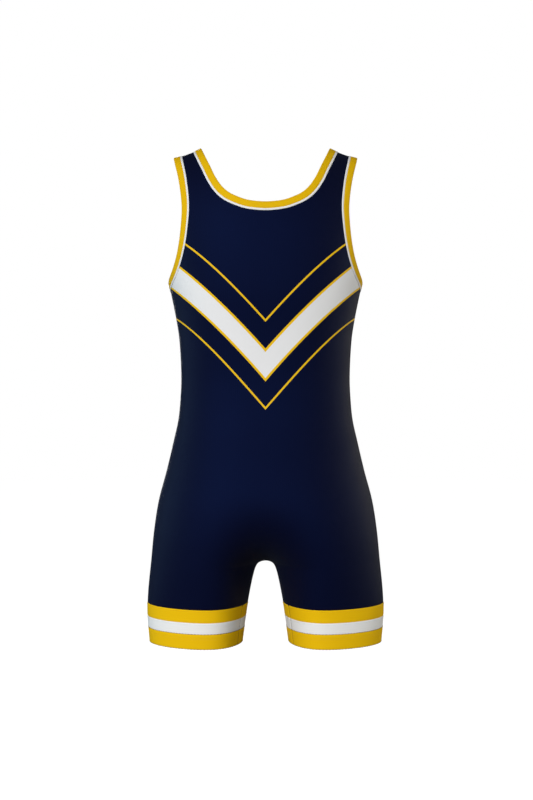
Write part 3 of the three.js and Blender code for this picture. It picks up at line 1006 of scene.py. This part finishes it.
def stitchTree():
    # points with a way along and a way out become slightly uneven threads
    tree = bpy.data.node_groups.new("sewnThreads", "GeometryNodeTree")
    face = tree.interface
    face.new_socket("Geometry", in_out="INPUT", socket_type="NodeSocketGeometry")
    for label in ("Length", "Thickness"):
        face.new_socket(label, in_out="INPUT", socket_type="NodeSocketFloat")
    face.new_socket("Thread", in_out="INPUT", socket_type="NodeSocketMaterial")
    face.new_socket("Geometry", in_out="OUTPUT", socket_type="NodeSocketGeometry")
    sheet = NodeSheet(tree)
    given, out = sheet.add("NodeGroupInput").outputs, sheet.add("NodeGroupOutput").inputs
    bead = sheet.add("GeometryNodeMeshUVSphere")
    socketValue(bead, {"Segments": 6, "Rings": 5, "Radius": 0.5})
    size = sheet.add("ShaderNodeCombineXYZ")
    sheet.join(given["Thickness"], size.inputs["X"])
    sheet.join(given["Thickness"], size.inputs["Y"])
    sheet.join(given["Length"], size.inputs["Z"])
    shaped = sheet.add("GeometryNodeTransform")
    sheet.join(bead.outputs["Mesh"], shaped.inputs["Geometry"])
    sheet.join(size.outputs[0], shaped.inputs["Scale"])
    ways = []
    for label in ("stitchAlong", "stitchOut"):
        way = sheet.add("GeometryNodeInputNamedAttribute", data_type="FLOAT_VECTOR")
        way.inputs["Name"].default_value = label
        ways.append(way.outputs["Attribute"])
    turn = sheet.add("FunctionNodeAxesToRotation", primary_axis="Z", secondary_axis="X")
    for way, socket in zip(ways, turn.inputs):
        sheet.join(way, socket)
    uneven = sheet.add("FunctionNodeRandomValue", data_type="FLOAT_VECTOR")
    uneven.inputs[0].default_value = stitchPlan["unevenLow"]
    uneven.inputs[1].default_value = stitchPlan["unevenHigh"]
    uneven.inputs["Seed"].default_value = stitchPlan["seed"]
    placed = sheet.add("GeometryNodeInstanceOnPoints")
    sheet.join(given["Geometry"], placed.inputs["Points"])
    sheet.join(shaped.outputs[0], placed.inputs["Instance"])
    sheet.join(turn.outputs[0], placed.inputs["Rotation"])
    sheet.join(uneven.outputs[0], placed.inputs["Scale"])
    real = sheet.add("GeometryNodeRealizeInstances")
    sheet.join(placed.outputs[0], real.inputs[0])
    threaded = sheet.add("GeometryNodeSetMaterial")
    sheet.join(real.outputs[0], threaded.inputs["Geometry"])
    sheet.join(given["Thread"], threaded.inputs["Material"])
    sheet.join(threaded.outputs[0], out[0])
    return tree


sewnThreads = stitchTree()


def stitchPoints(path, kind, closed):
    # evenly spaced stitches along a path that lies on the cloth
    if closed:
        path = np.concatenate([path, path[:1]])
    lengths = lengthAlong(path)
    row = stitchPlan["rows"][kind]
    count = max(2, round(lengths[-1] / row["pitch"]))
    shares = (np.arange(count) + 0.5) / count * lengths[-1]
    reach = stitchPlan["reach"]
    before, here, after = (pointsAt(path, lengths, shares + d) for d in (-reach, 0, reach))
    along, out = unit(after - before), normalAt(here)
    across = np.cross(out, along)
    way = unit(along * math.cos(row["slant"]) + across * math.sin(row["slant"]))
    return here, way, out


def makeStitches(name, kind, paths, thread):
    # paths are (points, closed, lift off the cloth)
    row = stitchPlan["rows"][kind]
    parts = []
    for path, closed, lift in paths:
        here, way, out = stitchPoints(path, kind, closed)
        parts.append((here + out * (lift + stitchPlan["height"]), way, out))
    here, way, out = (np.concatenate(group) for group in zip(*parts))
    mesh = bpy.data.meshes.new(name)
    mesh.from_pydata([tuple(p) for p in here], [], [])
    for label, values in (("stitchAlong", way), ("stitchOut", out)):
        layer = mesh.attributes.new(label, "FLOAT_VECTOR", "POINT")
        layer.data.foreach_set("vector", values.astype(np.float32).ravel())
    points = newObject(name, mesh)
    sewing = points.modifiers.new("sewing", "NODES")
    sewing.node_group = sewnThreads
    values = {"Length": row["length"], "Thickness": row["thick"], "Thread": threads[thread]}
    for item in sewnThreads.interface.items_tree:
        if item.in_out == "INPUT" and item.name in values:
            sewing[item.identifier] = values[item.name]
    bpy.context.view_layer.update()
    evaluated = points.evaluated_get(bpy.context.evaluated_depsgraph_get())
    plain = bpy.data.meshes.new_from_object(evaluated)
    points.modifiers.remove(sewing)
    points.data = plain
    plain.shade_smooth()
    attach(points, "root")
    return points


def edgePath(loop, distance):
    places, into = loop
    return ontoCloth(places + into * distance)


def bothSides(paths):
    flip = np.array([-1, 1, 1])
    return [*paths, *((path * flip, closed, lift) for path, closed, lift in paths)]


def sewTrims():
    lift = stitchPlan["bindingLift"]
    neckRows = [(edgePath(neckLoop, d), True, lift) for d in stitchPlan["bindingRows"]]
    armRows = bothSides([(edgePath(armLoop, d), True, lift) for d in stitchPlan["bindingRows"]])
    makeStitches("bindingStitches", "topStitch", neckRows + armRows, "gold")
    row = stitchPlan["pipingRow"]
    piping = [(edgePath(neckLoop, row), True, 0.0), *bothSides([(edgePath(armLoop, row), True, 0.0)])]
    makeStitches("pipingSeamStitches", "topStitch", piping, "navy")


def sewLegs():
    turns = np.linspace(0, 2 * math.pi, stitchPlan["samples"]["ring"], endpoint=False)
    for name, kind, thread, slotName, rows in stitchPlan["legRows"]:
        rings = [(ringAt(turns, bandEdge(band, edge) + rise), True, lift) for band, edge, rise, lift in rows]
        makeStitches(name, kind, bothSides(rings), thread)


def bandEdge(band, edge):
    return legBands["rows"][band][edge]


def sewSeams():
    samples = stitchPlan["samples"]
    panelEnd = bandEdge("band", "top")
    heights = np.linspace(stitchPlan["underarm"], panelEnd, samples["side"])
    sideSeam = np.stack([halfWidthAt(heights), 0 * heights, heights], axis=-1)
    heights = np.linspace(clothForm["crotch"] - stitchPlan["crotchClear"], panelEnd, samples["innerLeg"])
    inSeam = np.stack([innerLegAt(heights), 0 * heights, heights], axis=-1)
    clear = stitchPlan["shoulderClear"]
    ends = (clothForm["neckCorner"] + clear, clothForm["shoulderCorner"] - clear)
    across = np.linspace(*ends, samples["shoulder"])
    top = np.stack([across, 0 * across, shoulderLine(across)], axis=-1)
    seams = bothSides([(path, False, 0.0) for path in (sideSeam, inSeam, top)])
    makeStitches("seamStitches", "flatSeam", seams, "navy")


def sewBandJoins():
    # the bands' own seams, where their ends meet behind the inner leg: real stitches, in threads whose dark
    # colour is painted shade in the seam
    turn = np.array([2 * math.pi - legBands["joinTurn"]])
    clear, lift = stitchPlan["bandClear"], stitchPlan["joinLift"]
    heights = np.linspace(bandEdge("band", "top") - clear, bandEdge("cuff", "bottom") + clear,
                          stitchPlan["samples"]["join"])
    seam = np.concatenate([ringAt(turn, z) for z in heights])
    ends = np.searchsorted(-heights, [-bandEdge("stripe", "top"), -bandEdge("cuff", "top")])
    band, stripe, cuff = np.split(seam, ends)
    gold = bothSides([(band, False, lift["band"]), (cuff, False, lift["cuff"])])
    makeStitches("bandJoinStitches", "joinStitch", gold, "seamShadeOchre")
    white = bothSides([(stripe, False, lift["stripe"])])
    makeStitches("stripeJoinStitches", "joinStitch", white, "seamShadeGrey")


sewTrims()
sewLegs()
sewSeams()
sewBandJoins()
print("sewing made")

# Floor, light and camera
stagePlan = {
    "floorHeight": -1.5,
    "floorRadius": 14.0,
    "floorSides": 64,
    "floorGlow": 1.0,
    "floorTone": 0.04,
    "ambient": 0.03,
    "cameraPlace": (0.0017, -2.0, -0.426),
    "lens": 52.94,
    "sensor": 36.0,
    "lightTarget": (0, 0, -0.4),
    "lights": {
        # place, size across, power and colour
        "keyLight": ((-3.1, -5.1, 1.3), 2.0, 318.0, (1.0, 1.0, 1.0)),
        "fillLight": ((1.3, -5.0, 0.1), 3.0, 98.0, (1.0, 1.0, 1.0)),
        "sideLight": ((2.3, 0.2, -0.2), 1.6, 18.0, (1.0, 0.97, 0.88)),
        "rimLight": ((1.8, 1.4, -0.2), 1.4, 6.0, (1.0, 0.9, 0.7)),
        "edgeLight": ((-2.2, 0.5, -0.3), 1.4, 12.0, (0.45, 0.8, 1.0)),
        "frontLight": ((-0.7, 4.2, 0.7), 2.4, 150.0, (1.0, 1.0, 1.0)),
    },
}


def makeFloor():
    height, radius, sides = (stagePlan[key] for key in ("floorHeight", "floorRadius", "floorSides"))
    points = [(0, 0, height)]
    for k in range(sides):
        turn = 2 * math.pi * k / sides
        points.append((radius * math.cos(turn), radius * math.sin(turn), height))
    faces = [(0, 1 + k, 1 + (k + 1) % sides) for k in range(sides)]
    mesh = bpy.data.meshes.new("floor")
    mesh.from_pydata(points, [], faces)
    material = bpy.data.materials.new("paleFloor")
    material.use_nodes = True
    sheet = NodeSheet(material.node_tree)
    shader = material.node_tree.nodes["Principled BSDF"]
    tone = (*(stagePlan["floorTone"],) * 3, 1)
    socketValue(shader, {"Base Color": tone, "Roughness": 0.8, "Specular IOR Level": 0.1,
                         "Emission Color": (1, 1, 1, 1)})
    seen = sheet.add("ShaderNodeLightPath").outputs["Is Camera Ray"]
    sheet.join(sheet.times(seen, stagePlan["floorGlow"]), shader.inputs["Emission Strength"])
    mesh.materials.append(material)
    newObject("floor", mesh)


def makeLight(name, place, size, power, colour):
    light = bpy.data.lights.new(name, "AREA")
    light.shape = "DISK"
    light.size = size
    light.energy = power
    light.color = colour
    lamp = newObject(name, light)
    lamp.location = place
    aim = np.array(stagePlan["lightTarget"]) - np.array(place)
    lamp.rotation_euler = (math.acos(-aim[2] / np.linalg.norm(aim)), 0, math.atan2(-aim[0], aim[1]))


def makeWorld():
    world = bpy.data.worlds.new("studio")
    bpy.context.scene.world = world
    world.use_nodes = True
    sheet = NodeSheet(world.node_tree)
    background = world.node_tree.nodes["Background"]
    background.inputs["Color"].default_value = (1, 1, 1, 1)
    seen = sheet.add("ShaderNodeLightPath").outputs["Is Camera Ray"]
    strength = sheet.math("MULTIPLY_ADD", seen, 1.0 - stagePlan["ambient"], stagePlan["ambient"])
    sheet.join(strength, background.inputs["Strength"])


def makeCamera():
    # level, at half the garment's height, two metres behind it
    data = bpy.data.cameras.new("photoCamera")
    data.sensor_width = stagePlan["sensor"]
    data.lens = stagePlan["lens"]
    camera = newObject("photoCamera", data)
    camera.location = stagePlan["cameraPlace"]
    camera.rotation_euler = (math.pi / 2, 0, 0)
    bpy.context.scene.camera = camera


makeFloor()
makeWorld()
makeCamera()
for name, settings in stagePlan["lights"].items():
    makeLight(name, *settings)
bpy.context.scene.view_settings.view_transform = "Standard"
print("stage made")
